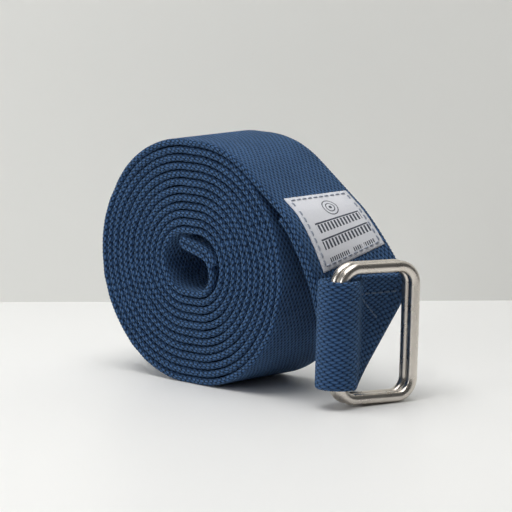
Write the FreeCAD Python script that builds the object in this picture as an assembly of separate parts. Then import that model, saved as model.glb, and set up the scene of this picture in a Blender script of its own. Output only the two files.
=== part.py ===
import FreeCAD, Part
import math
import os

from FreeCAD import Matrix, Vector

# Stretching strap: one length of flat cotton webbing, rolled up on the table.  Its outer end is
# doubled round two steel rings, sewn down, and folded over on a slant so that the rings hang beside
# the roll.  Millimetres.  X runs across the roll's round face, Y along the roll's axis and Z up.
# The origin is on the table, under the roll's axis, midway across the webbing.

# ---- driving dimensions: webbing and roll
WEB_WIDTH = 38.0
WEB_THICK = 2.4
TURN_GAP = 0.47
HALF_TURNS = 23
CORE_RADIUS = 10.2
CORE_FLAT = 6.4
HEM_ARC_RADIUS = 7.4
HEM_START_DEG = 15.0
HEM_END_DEG = 76.0
HEM_STRAIGHT = 9.0

# ---- driving dimensions: the outer end, from the roll down to the slanted fold
LEAVE_DEG = 55.0
LEAVE_RUN = 22.3
BEND_SHARPNESS = 0.7
TWIST_DELAY = 2.0
FOLD_GAP = 0.4

# ---- driving dimensions: rings (their inside height is the webbing's width and the slack)
WIRE_DIAMETER = 4.0
RING_HEIGHT_SLACK = 4.0
RING_INNER_WIDTH = 26.0
RING_CORNER_RADIUS = 6.5
RING_PAIR_GAP = 0.3
RING_SWING_DEG = 6.0
BAR_CLEARANCE = 0.9
FLOOR_GAP = 0.02

# ---- driving dimensions: the sewn end (u along it from the rings, v up it, n out of its face);
# the bars' middle stands off from the roll's outermost turn and in from the webbing's front edge
END_STANDOFF = 20.395
END_INSET = 6.2
END_SWING_DEG = 7.0
END_DROOP_DEG = 2.0
FOLD_LINE_DEG = 55.0
FOLD_FOOT = 8.4
LOOP_NECK = 9.0
INCOMING_MARGIN = 1.2
DESCENT_STATIONS = 13

# ---- driving dimensions: label and stitching
LABEL_WIDTH = 31.0
LABEL_THICK = 0.5
LABEL_OFFSET = 1.4
LABEL_RISE = 6.0
LABEL_STATIONS = 8
THREAD_DIAMETER = 0.5
STITCH_PITCH = 3.0
STITCH_LENGTH = 2.2
STITCH_DEPTH = 0.12
SEAM_NECK_GAP = 2.0
SEAM_TOP_INSET = 7.5
SEAM_BOTTOM_INSET = 6.5
SEAM_FOLD_GAP = 2.5
LABEL_SEAM_INSET = 1.6
HEM_SEAM_RUN = 3.0
HEM_SEAM_INSET = 2.5

PITCH = WEB_THICK + TURN_GAP
HALF = WEB_THICK / 2
WIRE_R = WIRE_DIAMETER / 2
BAR_SPACING = WIRE_DIAMETER + RING_PAIR_GAP
LOOP_INNER_R = BAR_SPACING / 2 + WIRE_R + BAR_CLEARANCE
LOOP_OUTER_R = LOOP_INNER_R + WEB_THICK
OUTER_RADIUS = CORE_RADIUS + HALF + HALF_TURNS * PITCH / 2
SIDE = CORE_FLAT / 2
END_X = SIDE + OUTER_RADIUS + END_STANDOFF
END_Y = END_INSET - WEB_WIDTH / 2


def polar(centre, radius, degrees):
    angle = math.radians(degrees)
    return (centre[0] + radius * math.cos(angle), centre[1] + radius * math.sin(angle))


def flat_point(point, y=0.0):
    return Vector(point[0], y, point[1])


# A path is a list of ("arc", centre, radius, start, end) and ("line", start point, end point),
# run anticlockwise, so that a positive offset is always on the outside.
def offset_ends(step, offset):
    if step[0] == "arc":
        _, centre, radius, start, end = step
        return polar(centre, radius + offset, start), polar(centre, radius + offset, end)
    _, start, end = step
    length = math.dist(start, end)
    side = ((end[1] - start[1]) / length * offset, -(end[0] - start[0]) / length * offset)
    return (start[0] + side[0], start[1] + side[1]), (end[0] + side[0], end[1] + side[1])


def offset_edge(step, offset):
    first, last = offset_ends(step, offset)
    if step[0] == "arc":
        _, centre, radius, start, end = step
        middle = polar(centre, radius + offset, (start + end) / 2)
        return Part.Arc(flat_point(first), flat_point(middle), flat_point(last)).toShape()
    return Part.makeLine(flat_point(first), flat_point(last))


def band(path, inside, outside, width=WEB_WIDTH):
    edges = [offset_edge(step, outside) for step in path]
    edges.append(Part.makeLine(flat_point(offset_ends(path[-1], outside)[1]),
                               flat_point(offset_ends(path[-1], inside)[1])))
    edges += [offset_edge(step, inside) for step in reversed(path)]
    edges.append(Part.makeLine(flat_point(offset_ends(path[0], inside)[0]),
                               flat_point(offset_ends(path[0], outside)[0])))
    wire = Part.Wire(Part.__sortEdges__(edges))
    solid = Part.Face(wire).extrude(Vector(0, width, 0))
    solid.translate(Vector(0, -width / 2, 0))
    return solid


# ---- the roll: half turns about two centres, each half turn one half pitch smaller than the last
LEFT_CENTRE = (-SIDE, OUTER_RADIUS - PITCH / 2 + HALF)
RIGHT_CENTRE = (SIDE, LEFT_CENTRE[1] - PITCH / 2)


def leaving_run():
    """The straight run from the doubled webbing's start back up to the roll."""
    tangent = math.radians(LEAVE_DEG + 90)
    at_roll = polar(RIGHT_CENTRE, OUTER_RADIUS, LEAVE_DEG)
    start = (at_roll[0] - LEAVE_RUN * math.cos(tangent), at_roll[1] - LEAVE_RUN * math.sin(tangent))
    return ("line", start, at_roll)


def roll_path():
    path = [leaving_run(), ("arc", RIGHT_CENTRE, OUTER_RADIUS, LEAVE_DEG, 90)]
    for turn in range(HALF_TURNS):
        radius = OUTER_RADIUS - turn * PITCH / 2
        smaller = radius - PITCH / 2
        if turn % 2 == 0:
            height = RIGHT_CENTRE[1] + radius
            path.append(("line", (SIDE, height), (-SIDE, height)))
            path.append(("arc", LEFT_CENTRE, smaller, 90, 270))
        else:
            height = LEFT_CENTRE[1] - radius
            path.append(("line", (-SIDE, height), (SIDE, height)))
            path.append(("arc", RIGHT_CENTRE, smaller, -90, 90))
    return path


def hem_path():
    """The last stretch inside the core, which a hem twice as thick holds off the turn outside it."""
    height = LEFT_CENTRE[1] - (OUTER_RADIUS - HALF_TURNS * PITCH / 2)
    centre = (SIDE, height + HEM_ARC_RADIUS)
    turned = polar(centre, HEM_ARC_RADIUS, HEM_END_DEG)
    tangent = math.radians(HEM_END_DEG + 90)
    end = (turned[0] + HEM_STRAIGHT * math.cos(tangent), turned[1] + HEM_STRAIGHT * math.sin(tangent))
    approach = [("line", (-SIDE, height), (SIDE, height)),
                ("arc", centre, HEM_ARC_RADIUS, -90, HEM_START_DEG)]
    doubled = [("arc", centre, HEM_ARC_RADIUS, HEM_START_DEG, HEM_END_DEG), ("line", turned, end)]
    return approach, doubled


def rolled_webbing():
    approach, doubled = hem_path()
    single = band(roll_path() + approach + doubled, -HALF, HALF)
    return single.fuse(band(doubled, HALF, HALF + WEB_THICK))


# ---- the sewn end, in its own slanted frame: the rings' bars stand at u = n = 0
def end_matrix():
    swing = math.radians(END_SWING_DEG)
    droop = math.radians(END_DROOP_DEG)
    level = Vector(math.sin(swing), math.cos(swing), 0)
    up = Vector(0, 0, 1)
    along = level * math.cos(droop) - up * math.sin(droop)
    across = level * math.sin(droop) + up * math.cos(droop)
    normal = along.cross(across)
    return Matrix(along.x, across.x, normal.x, END_X,
                  along.y, across.y, normal.y, END_Y,
                  along.z, across.z, normal.z, bar_height(),
                  0, 0, 0, 1)


def bar_height():
    """Height of the bars' middle that lets the drooping rings just stand on the table."""
    droop = math.radians(END_DROOP_DEG)
    corner_u = (RING_WIDTH - RING_CORNER_RADIUS) * math.cos(math.radians(RING_SWING_DEG))
    corner_v = RING_HEIGHT / 2 - RING_CORNER_RADIUS
    return corner_u * math.sin(droop) + corner_v * math.cos(droop) + RING_CORNER_RADIUS + WIRE_R + FLOOR_GAP


def in_end(u, v, n):
    return END.multVec(Vector(u, v, n))


def end_direction(u, v, n):
    return in_end(u, v, n) - in_end(0, 0, 0)


def prism(corners, low, high):
    """A flat plate in the end's frame, from its corners (u, v) and its two faces' n."""
    points = [in_end(u, v, low) for u, v in corners]
    face = Part.Face(Part.makePolygon(points + points[:1]))
    return face.extrude(end_direction(0, 0, high - low))


RING_HEIGHT = WEB_WIDTH + RING_HEIGHT_SLACK + WIRE_DIAMETER
RING_WIDTH = RING_INNER_WIDTH + WIRE_DIAMETER
END = end_matrix()
EDGE = WEB_WIDTH / 2
TAB_BACK = -LOOP_OUTER_R
TAB_MIDDLE = -LOOP_INNER_R
TAB_FRONT = WEB_THICK - LOOP_INNER_R
INCOMING_MIDDLE = TAB_BACK - FOLD_GAP - WEB_THICK
FOLD_AXIS_N = TAB_BACK - FOLD_GAP / 2
FOLD_RADIUS = FOLD_GAP / 2 + 2 * WEB_THICK
SLANT = math.radians(FOLD_LINE_DEG)
SKEW = 2 * SLANT - math.pi / 2
FOOT = (FOLD_FOOT, -EDGE)
HEAD = (FOLD_FOOT + WEB_WIDTH / math.tan(SLANT), EDGE)
INCOMING_RUN = EDGE / math.tan(SLANT) + INCOMING_MARGIN
DOWN = (math.sin(SKEW), -math.cos(SKEW))
ACROSS = (math.cos(SKEW), math.sin(SKEW))


def incoming_corner(run, side):
    """A point (u, v) of the incoming webbing, run up from the fold line's middle, side across it."""
    middle = (FOOT[0] + HEAD[0]) / 2
    return (middle - DOWN[0] * run + ACROSS[0] * side, -DOWN[1] * run + ACROSS[1] * side)


def hermite(p, q, p_slope, q_slope, t):
    return (p * (2 * t ** 3 - 3 * t ** 2 + 1) + p_slope * (t ** 3 - 2 * t ** 2 + t)
            + q * (3 * t ** 2 - 2 * t ** 3) + q_slope * (t ** 3 - t ** 2))


def descending_frames():
    """Centre, width direction and outward normal of the doubled run, from the roll to the end."""
    _, start_point, roll_point = leaving_run()
    leave = math.radians(LEAVE_DEG)
    start = flat_point(polar(start_point, -HALF, LEAVE_DEG))
    start_down = Vector(math.sin(leave), 0, -math.cos(leave))
    start_across = Vector(0, 1, 0)
    u, v = incoming_corner(INCOMING_RUN, 0)
    finish = in_end(u, v, INCOMING_MIDDLE)
    finish_down = end_direction(DOWN[0], DOWN[1], 0)
    finish_across = end_direction(ACROSS[0], ACROSS[1], 0)
    span = start.distanceToPoint(finish) * BEND_SHARPNESS
    shares = even_shares(start, finish, start_down * span, finish_down * span)
    frames = []
    for t in shares:
        centre = hermite(start, finish, start_down * span, finish_down * span, t)
        nearly = [hermite(start, finish, start_down * span, finish_down * span, t + step)
                  for step in (-0.001, 0.001)]
        down = nearly[1] - nearly[0]
        down.normalize()
        turned = t ** TWIST_DELAY
        across = start_across * (1 - turned) + finish_across * turned
        across = across - down * across.dot(down)
        across.normalize()
        frames.append((centre, across, down.cross(across)))
    frames[0] = (start, start_across, start_down.cross(start_across))
    return frames


def even_shares(p, q, p_slope, q_slope):
    """Values of t that divide the run into equal lengths, one for each station."""
    steps = 400
    points = [hermite(p, q, p_slope, q_slope, step / steps) for step in range(steps + 1)]
    lengths = [0.0]
    for first, second in zip(points, points[1:]):
        lengths.append(lengths[-1] + first.distanceToPoint(second))
    shares = []
    for station in range(DESCENT_STATIONS):
        wanted = lengths[-1] * station / (DESCENT_STATIONS - 1)
        below = max(step for step in range(steps + 1) if lengths[step] <= wanted + 1e-9)
        beyond = min(below + 1, steps)
        gap = lengths[beyond] - lengths[below]
        part = (wanted - lengths[below]) / gap if gap > 0 else 0.0
        shares.append((below + part) / steps)
    return shares


def lofted(frames, left, right, low, high):
    wires = []
    for centre, across, normal in frames:
        corners = [(left, low), (right, low), (right, high), (left, high)]
        points = [centre + across * a + normal * b for a, b in corners]
        wires.append(Part.makePolygon(points + points[:1]))
    return Part.makeLoft(wires, True, True)


def folded_end():
    """The fold and the tab: the incoming webbing turns over on the slanted line and runs level."""
    incoming = prism([FOOT, HEAD, incoming_corner(INCOMING_RUN, EDGE), incoming_corner(INCOMING_RUN, -EDGE)],
                     INCOMING_MIDDLE - WEB_THICK, INCOMING_MIDDLE + WEB_THICK)
    tab = prism([(LOOP_NECK, -EDGE), (HEAD[0], -EDGE), (HEAD[0], EDGE), (LOOP_NECK, EDGE)],
                TAB_BACK, TAB_FRONT)
    loop = loop_profile()
    beyond = prism([FOOT, (HEAD[0] + WEB_WIDTH, -EDGE), (HEAD[0] + WEB_WIDTH, EDGE), HEAD],
                   INCOMING_MIDDLE - WEB_WIDTH, WEB_WIDTH)
    turn = Part.makeCylinder(FOLD_RADIUS, 3 * WEB_WIDTH,
                             in_end(FOOT[0] - WEB_WIDTH * math.cos(SLANT), FOOT[1] - WEB_WIDTH * math.sin(SLANT),
                                    FOLD_AXIS_N),
                             end_direction(math.cos(SLANT), math.sin(SLANT), 0))
    return incoming.fuse([tab.fuse(loop).cut(beyond), turn.common(beyond)])


def loop_profile():
    """The webbing round the bars, as a profile in u and n run up the webbing's width."""
    neck_distance = math.hypot(LOOP_NECK, LOOP_INNER_R)
    neck_angle = math.degrees(math.atan2(-LOOP_INNER_R, LOOP_NECK))
    touch = neck_angle + math.degrees(math.acos(LOOP_INNER_R / neck_distance))
    slope = math.radians(touch - 90)
    outer_touch = polar((0, 0), LOOP_OUTER_R, touch)
    reach = (TAB_FRONT - outer_touch[1]) / math.sin(slope)
    shoulder = (outer_touch[0] + reach * math.cos(slope), TAB_FRONT)

    def edge_line(p, q):
        return Part.makeLine(in_end(p[0], -EDGE, p[1]), in_end(q[0], -EDGE, q[1]))

    def edge_arc(radius):
        points = [polar((0, 0), radius, a) for a in (-90, (touch - 450) / 2, touch - 360)]
        return Part.Arc(*[in_end(p[0], -EDGE, p[1]) for p in points]).toShape()

    outer = Part.Wire(Part.__sortEdges__([
        edge_line((LOOP_NECK, TAB_BACK), (0, TAB_BACK)), edge_arc(LOOP_OUTER_R),
        edge_line(outer_touch, shoulder), edge_line(shoulder, (shoulder[0], TAB_MIDDLE)),
        edge_line((shoulder[0], TAB_MIDDLE), (LOOP_NECK, TAB_MIDDLE)),
        edge_line((LOOP_NECK, TAB_MIDDLE), (LOOP_NECK, TAB_BACK))]))
    inner = Part.Wire(Part.__sortEdges__([
        edge_line((LOOP_NECK, TAB_MIDDLE), (0, TAB_MIDDLE)), edge_arc(LOOP_INNER_R),
        edge_line(polar((0, 0), LOOP_INNER_R, touch), (LOOP_NECK, TAB_MIDDLE))]))
    height = end_direction(0, WEB_WIDTH, 0)
    return Part.Face(outer).extrude(height).cut(Part.Face(inner).extrude(height))


# ---- rings
def ring(offset):
    """A rounded-rectangle wire ring: its bar beside the loop's axis, the rest swung a little forward."""
    swing = math.radians(RING_SWING_DEG)
    reach = RING_HEIGHT / 2 - RING_CORNER_RADIUS
    near = RING_CORNER_RADIUS
    far = RING_WIDTH - RING_CORNER_RADIUS

    def place(across, up):
        return in_end(across * math.cos(swing) - offset * math.sin(swing), up,
                      across * math.sin(swing) + offset * math.cos(swing))

    def bar(start, end):
        return Part.makeCylinder(WIRE_R, (end - start).Length, start, end - start)

    def corner(centre, start, heading):
        section = Part.Face(Part.Wire(Part.makeCircle(WIRE_R, start, heading)))
        return section.revolve(centre, (start - centre).cross(heading), 90)

    out = place(1, 0) - place(0, 0)
    up = place(0, 1) - place(0, 0)
    pieces = []
    for centre, heading in ((place(near, reach), up), (place(far, reach), out),
                            (place(far, -reach), up * -1), (place(near, -reach), out * -1)):
        side = heading.cross(out.cross(up)) * -1
        pieces.append(corner(centre, centre + side * RING_CORNER_RADIUS, heading))
    pieces.append(bar(place(0, -reach), place(0, reach)))
    pieces.append(bar(place(near, RING_HEIGHT / 2), place(far, RING_HEIGHT / 2)))
    pieces.append(bar(place(RING_WIDTH, reach), place(RING_WIDTH, -reach)))
    pieces.append(bar(place(far, -RING_HEIGHT / 2), place(near, -RING_HEIGHT / 2)))
    return pieces[0].fuse(pieces[1:])


# ---- label and stitching
def label_frames(frames):
    """The stations under the label: it starts a little above the raw end, on the single layer."""
    centre, across, normal = frames[0]
    up = normal.cross(across)
    above = [(centre + up * (LABEL_RISE * share), across, normal) for share in (1.0, 0.5)]
    return above + frames[:LABEL_STATIONS + 1]


def label(frames):
    return lofted(label_frames(frames), LABEL_OFFSET - LABEL_WIDTH / 2, LABEL_OFFSET + LABEL_WIDTH / 2,
                  WEB_THICK, WEB_THICK + LABEL_THICK)


def stitch(middle, along, outward):
    """One visible stitch: a short length of thread lying along the seam, sunk a little into the cloth."""
    along = Vector(along).normalize()
    outward = Vector(outward).normalize()
    start = middle - along * (STITCH_LENGTH / 2) + outward * (THREAD_DIAMETER / 2 - STITCH_DEPTH)
    return Part.makeCylinder(THREAD_DIAMETER / 2, STITCH_LENGTH, start, along)


def seam(start, end, outward):
    """Stitches from one point to another, evenly spaced at about the stitch pitch."""
    run = end - start
    count = max(1, int(run.Length / STITCH_PITCH))
    return [stitch(start + run * ((index + 0.5) / count), run, outward) for index in range(count)]


def fold_line_u(v):
    return FOOT[0] + (v + EDGE) / math.tan(SLANT)


def tab_seams(face, outward):
    """The seam that closes the loop: up beside the rings, along the top, and one slanting arm."""
    corner_u = LOOP_NECK + SEAM_NECK_GAP
    top = EDGE - SEAM_TOP_INSET
    bottom = SEAM_BOTTOM_INSET - EDGE
    top_end = fold_line_u(top) - SEAM_FOLD_GAP
    arm = (fold_line_u(top) - SEAM_FOLD_GAP * 2 - corner_u) / (1 + 1 / math.tan(SLANT))
    normal = end_direction(0, 0, outward)
    corner = in_end(corner_u, top, face)
    lines = [(in_end(corner_u, bottom, face), corner), (corner, in_end(top_end, top, face)),
             (in_end(corner_u + STITCH_PITCH / 2, top - STITCH_PITCH / 2, face),
              in_end(corner_u + arm, top - arm, face))]
    return [piece for start, end in lines for piece in seam(start, end, normal)]


def label_seams(frames, face, face_above, outward):
    """Stitches all round the label's border, on its face or on the back of the webbing.

    The webbing is a single layer above its raw end, so its back is nearer the label there.
    """
    left = LABEL_OFFSET - LABEL_WIDTH / 2 + LABEL_SEAM_INSET
    right = LABEL_OFFSET + LABEL_WIDTH / 2 - LABEL_SEAM_INSET
    pieces = []
    used = label_frames(frames)
    for index, (first, second) in enumerate(zip(used, used[1:])):
        low_side = face_above if index < 2 else face
        for side in (left, right):
            start = first[0] + first[1] * side + first[2] * low_side
            end = second[0] + second[1] * side + second[2] * low_side
            trim = (end - start) * ((STITCH_PITCH - STITCH_LENGTH) / STITCH_PITCH / 2)
            pieces += seam(start + trim, end - trim, (first[2] + second[2]) * outward)
    for end, towards, low_side in ((used[0], used[1], face_above), (used[-1], used[-2], face)):
        centre, across, normal = end
        inwards = Vector(towards[0] - centre).normalize() * LABEL_SEAM_INSET
        base = centre + inwards + normal * low_side
        pieces += seam(base + across * (left + STITCH_PITCH / 2), base + across * (right - STITCH_PITCH / 2),
                       normal * outward)
    return pieces


def hem_seams(offset, outward):
    _, doubled = hem_path()
    _, start, end = doubled[1]
    first, last = offset_ends(doubled[1], offset)
    share = HEM_SEAM_RUN / HEM_STRAIGHT
    point = (first[0] + (last[0] - first[0]) * share, first[1] + (last[1] - first[1]) * share)
    length = math.dist(start, end)
    normal = Vector((end[1] - start[1]) / length, 0, -(end[0] - start[0]) / length) * outward
    reach = EDGE - HEM_SEAM_INSET
    return seam(flat_point(point, -reach), flat_point(point, reach), normal)


def save(name, shape):
    shape.exportStep("parts/" + name + ".step")


def main():
    os.makedirs("parts", exist_ok=True)
    frames = descending_frames()
    descent = lofted(frames, -EDGE, EDGE, -WEB_THICK, WEB_THICK)
    save("webbing_roll", rolled_webbing())
    save("webbing_end", descent.fuse(folded_end()))
    save("ring_back", ring(-BAR_SPACING / 2))
    save("ring_front", ring(BAR_SPACING / 2))
    save("label", label(frames))
    label_face = WEB_THICK + LABEL_THICK
    save("label_needle_thread", Part.makeCompound(label_seams(frames, label_face, label_face, 1)))
    save("label_bobbin_thread", Part.makeCompound(label_seams(frames, -WEB_THICK, 0, -1)))
    save("tab_needle_thread", Part.makeCompound(tab_seams(TAB_FRONT, 1)))
    save("tab_bobbin_thread", Part.makeCompound(tab_seams(TAB_BACK, -1)))
    save("hem_needle_thread", Part.makeCompound(hem_seams(-HALF, -1)))
    save("hem_bobbin_thread", Part.makeCompound(hem_seams(HALF + WEB_THICK, 1)))


main()
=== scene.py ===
import math

import bpy
import numpy as np
from mathutils import Matrix, Vector


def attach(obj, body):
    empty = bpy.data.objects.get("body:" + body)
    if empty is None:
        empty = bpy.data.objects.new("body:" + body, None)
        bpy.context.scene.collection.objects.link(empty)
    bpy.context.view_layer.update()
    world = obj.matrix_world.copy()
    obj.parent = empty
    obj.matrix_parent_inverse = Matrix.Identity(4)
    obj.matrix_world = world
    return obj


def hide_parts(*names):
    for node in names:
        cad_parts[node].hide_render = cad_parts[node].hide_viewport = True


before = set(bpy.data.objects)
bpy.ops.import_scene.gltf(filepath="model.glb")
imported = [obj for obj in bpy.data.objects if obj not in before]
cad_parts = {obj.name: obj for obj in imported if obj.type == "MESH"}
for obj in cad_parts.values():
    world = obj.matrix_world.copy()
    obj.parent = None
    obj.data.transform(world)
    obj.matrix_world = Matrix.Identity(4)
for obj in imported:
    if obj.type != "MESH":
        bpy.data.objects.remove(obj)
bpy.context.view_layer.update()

# A rolled stretching strap.  Lengths are in millimetres until make_mesh turns them into metres.
MM = 0.001

# ---- the strap's own sizes, as the CAD has them
WIDTH, THICK, GAP = 38.0, 2.4, 0.47
HALF_TURNS, CORE_RADIUS, CORE_FLAT = 23, 10.2, 6.4
HEM_RADIUS, HEM_START, HEM_END, HEM_STRAIGHT = 7.4, 15.0, 76.0, 9.0
LEAVE, LEAVE_RUN, BEND, TWIST, FOLD_GAP = 55.0, 22.3, 0.7, 2.0, 0.4
WIRE_R, RING_H, RING_W, RING_CORNER, RING_SWING = 2.0, 46.0, 30.0, 6.5, 6.0
BAR_SPACING, BAR_SLACK = 4.3, 0.9
END_X, END_Y, END_SWING, END_DROOP = 68.0, -12.8, 7.0, 2.0
FOLD_LINE, FOLD_FOOT, INCOMING, FLOOR_GAP = 55.0, 8.4, 14.504, 0.02
LABEL_WIDTH, LABEL_THICK, LABEL_SHIFT, LABEL_RISE, LABEL_SHARE = 31.0, 0.5, 1.4, 6.0, 8 / 12

# ---- how finely the webbing is cut up: the spacing of its rows on the roll, the run down and the loop
ROLL_STEP, RUN_STEP, LOOP_STEP = 0.65, 0.6, 0.4

# ---- sizes that follow from those
PITCH, HALF, EDGE = THICK + GAP, THICK / 2, WIDTH / 2
OUTER = CORE_RADIUS + HALF + HALF_TURNS * PITCH / 2
LEFT = (-CORE_FLAT / 2, OUTER - PITCH / 2 + HALF)
RIGHT = (CORE_FLAT / 2, LEFT[1] - PITCH / 2)
LOOP_R = BAR_SPACING / 2 + WIRE_R + BAR_SLACK + HALF
TAB_BACK_N = -LOOP_R
TAB_FRONT_N = TAB_BACK_N + THICK
IN_FRONT_N = TAB_BACK_N - FOLD_GAP - THICK
IN_BACK_N = IN_FRONT_N - THICK
FOLD_N = TAB_BACK_N - HALF - FOLD_GAP / 2
SLANT = math.radians(FOLD_LINE)
SKEW = 2 * SLANT - math.pi / 2
FOLD_U = FOLD_FOOT + EDGE / math.tan(SLANT)
DOWN = np.array([math.sin(SKEW), -math.cos(SKEW)])
ACROSS = np.array([math.cos(SKEW), math.sin(SKEW)])
BEYOND = np.array([math.sin(SLANT), -math.cos(SLANT)])
ALONG = np.array([math.cos(SLANT), math.sin(SLANT)])


# ---- small helpers
def unit(v):
    return v / np.linalg.norm(v, axis=-1, keepdims=True)


def smooth(a, b, x):
    t = np.clip((np.asarray(x, float) - a) / (b - a), 0, 1)
    return t * t * (3 - 2 * t)


def wander(x, seed, wavelength):
    """A smooth wandering value between -1 and 1, the same on every run."""
    rng = np.random.default_rng(seed)
    total = np.zeros_like(np.asarray(x, float))
    for octave in range(4):
        total += np.sin(x * 2 * math.pi / (wavelength / (1 + 0.73 * octave)) + rng.uniform(0, 6.28)) / 4
    return total


# ---- the sewn end's frame: u along it from the rings, v up it, n out of its face
droop, swing = math.radians(END_DROOP), math.radians(END_SWING)
level = np.array([math.sin(swing), math.cos(swing), 0])
UP = np.array([0, 0, 1.0])
E_U = level * math.cos(droop) - UP * math.sin(droop)
E_V = level * math.sin(droop) + UP * math.cos(droop)
E_N = np.cross(E_U, E_V)
corner_u = (RING_W - RING_CORNER) * math.cos(math.radians(RING_SWING))
END_Z = (corner_u * math.sin(droop) + (RING_H / 2 - RING_CORNER) * math.cos(droop)
         + RING_CORNER + WIRE_R + FLOOR_GAP)
END_O = np.array([END_X, END_Y, END_Z])


def in_end(u, v, n):
    u, v, n = np.broadcast_arrays(np.asarray(u, float), v, n)
    return END_O + u[..., None] * E_U + v[..., None] * E_V + n[..., None] * E_N


# ---- the roll's centre line, from the departing run inwards
def roll_steps():
    a = math.radians(LEAVE + 90)
    at_roll = (RIGHT[0] + OUTER * math.cos(math.radians(LEAVE)),
               RIGHT[1] + OUTER * math.sin(math.radians(LEAVE)))
    start = (at_roll[0] - LEAVE_RUN * math.cos(a), at_roll[1] - LEAVE_RUN * math.sin(a))
    steps = [("line", start, at_roll), ("arc", RIGHT, OUTER, LEAVE, 90)]
    for turn in range(HALF_TURNS):
        radius = OUTER - turn * PITCH / 2
        smaller = radius - PITCH / 2
        if turn % 2 == 0:
            height = RIGHT[1] + radius
            steps += [("line", (RIGHT[0], height), (LEFT[0], height)), ("arc", LEFT, smaller, 90, 270)]
        else:
            height = LEFT[1] - radius
            steps += [("line", (LEFT[0], height), (RIGHT[0], height)), ("arc", RIGHT, smaller, -90, 90)]
    height = LEFT[1] - (OUTER - HALF_TURNS * PITCH / 2)
    centre = (RIGHT[0], height + HEM_RADIUS)
    turned = (centre[0] + HEM_RADIUS * math.cos(math.radians(HEM_END)),
              centre[1] + HEM_RADIUS * math.sin(math.radians(HEM_END)))
    a = math.radians(HEM_END + 90)
    end = (turned[0] + HEM_STRAIGHT * math.cos(a), turned[1] + HEM_STRAIGHT * math.sin(a))
    steps += [("line", (LEFT[0], height), (RIGHT[0], height)), ("arc", centre, HEM_RADIUS, -90, HEM_START),
              ("arc", centre, HEM_RADIUS, HEM_START, HEM_END), ("line", turned, end)]
    return steps


def sample_steps(steps, pitch):
    """Points and outward normals in the XZ plane, evenly spaced along the steps."""
    points, normals = [], []
    for step in steps:
        if step[0] == "line":
            p, q = np.array(step[1]), np.array(step[2])
            length = np.linalg.norm(q - p)
            t = np.linspace(0, 1, max(2, int(length / 0.05)))[:, None]
            run = (q - p) / length
            points.append(p + (q - p) * t)
            normals.append(np.repeat([[run[1], -run[0]]], len(t), 0))
        else:
            _, centre, radius, a, b = step
            angle = np.radians(np.linspace(a, b, max(2, int(abs(b - a) * radius / 57.3 / 0.05))))
            ray = np.stack([np.cos(angle), np.sin(angle)], 1)
            points.append(np.array(centre) + radius * ray)
            normals.append(ray)
    points, normals = np.concatenate(points), np.concatenate(normals)
    keep = np.concatenate([[True], np.linalg.norm(np.diff(points, axis=0), axis=1) > 1e-6])
    points, normals = points[keep], normals[keep]
    along = np.concatenate([[0], np.cumsum(np.linalg.norm(np.diff(points, axis=0), axis=1))])
    even = np.linspace(0, along[-1], int(along[-1] / pitch) + 1)
    return (np.stack([np.interp(even, along, points[:, k]) for k in (0, 1)], 1),
            unit(np.stack([np.interp(even, along, normals[:, k]) for k in (0, 1)], 1)), even)


# ---- the doubled run between the roll and the sewn end
def hermite(p, q, a, b, t):
    t = np.asarray(t, float)[..., None]
    return (p * (2 * t**3 - 3 * t**2 + 1) + a * (t**3 - 2 * t**2 + t) + q * (3 * t**2 - 2 * t**3)
            + b * (t**3 - t**2))


leave_a = math.radians(LEAVE)
run_outward = np.array([math.cos(leave_a), math.sin(leave_a)])
run_start = sample_steps(roll_steps()[:1], 1.0)[0][0] - HALF * run_outward
START = np.array([run_start[0], 0, run_start[1]])
START_DOWN = np.array([math.sin(leave_a), 0, -math.cos(leave_a)])
finish_uv = np.array([FOLD_U, 0]) - DOWN * INCOMING
FINISH = in_end(finish_uv[0], finish_uv[1], (IN_FRONT_N + IN_BACK_N) / 2)
FINISH_DOWN = DOWN[0] * E_U + DOWN[1] * E_V
FINISH_ACROSS = ACROSS[0] * E_U + ACROSS[1] * E_V
SPAN = np.linalg.norm(FINISH - START)
PULL = SPAN * BEND


def descent_line(t):
    below = hermite(START, FINISH, START_DOWN * PULL, FINISH_DOWN * PULL, np.maximum(t, 0))
    return below + START_DOWN * PULL * np.minimum(t, 0)[..., None]


def descent(t):
    """Centre, across and outward normal of the doubled run: t is 0 at the raw end, below 0 above it
    on the single layer, and 1 at the fold."""
    t = np.asarray(t, float)
    down = unit(descent_line(t + 0.002) - descent_line(t - 0.002))
    turned = np.maximum(t, 0)[..., None] ** TWIST
    across = np.array([0, 1.0, 0]) * (1 - turned) + FINISH_ACROSS * turned
    across = unit(across - down * (across * down).sum(-1, keepdims=True))
    return descent_line(t), across, np.cross(down, across)


def distances(points):
    """Distance from the first point to each, along them."""
    return np.concatenate([[0], np.cumsum(np.linalg.norm(np.diff(points, axis=0), axis=1))])


# the label's run: t for each distance down its face, from the label's top to its foot
label_t = np.concatenate([[-LABEL_RISE / PULL], np.linspace(0, 1, 401)])
label_down = distances(descent_line(label_t))
LABEL_END = np.interp(LABEL_RISE + LABEL_SHARE * (label_down[-1] - LABEL_RISE), label_down, label_t)
label_t = np.linspace(label_t[0], LABEL_END, 201)
label_c, _, label_n = descent(label_t)
label_down = distances(label_c + label_n * (THICK + LABEL_THICK))
LABEL_LENGTH = label_down[-1]


# ---- the loop's profile, in u and n, by distance along the flat webbing from the fold's middle;
# the cloth eases down to the tab at SLACK_NECK, further out than the CAD's straight shoulder
SLACK_NECK, SHOULDER_BEND = 11.5, 6.0


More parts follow.
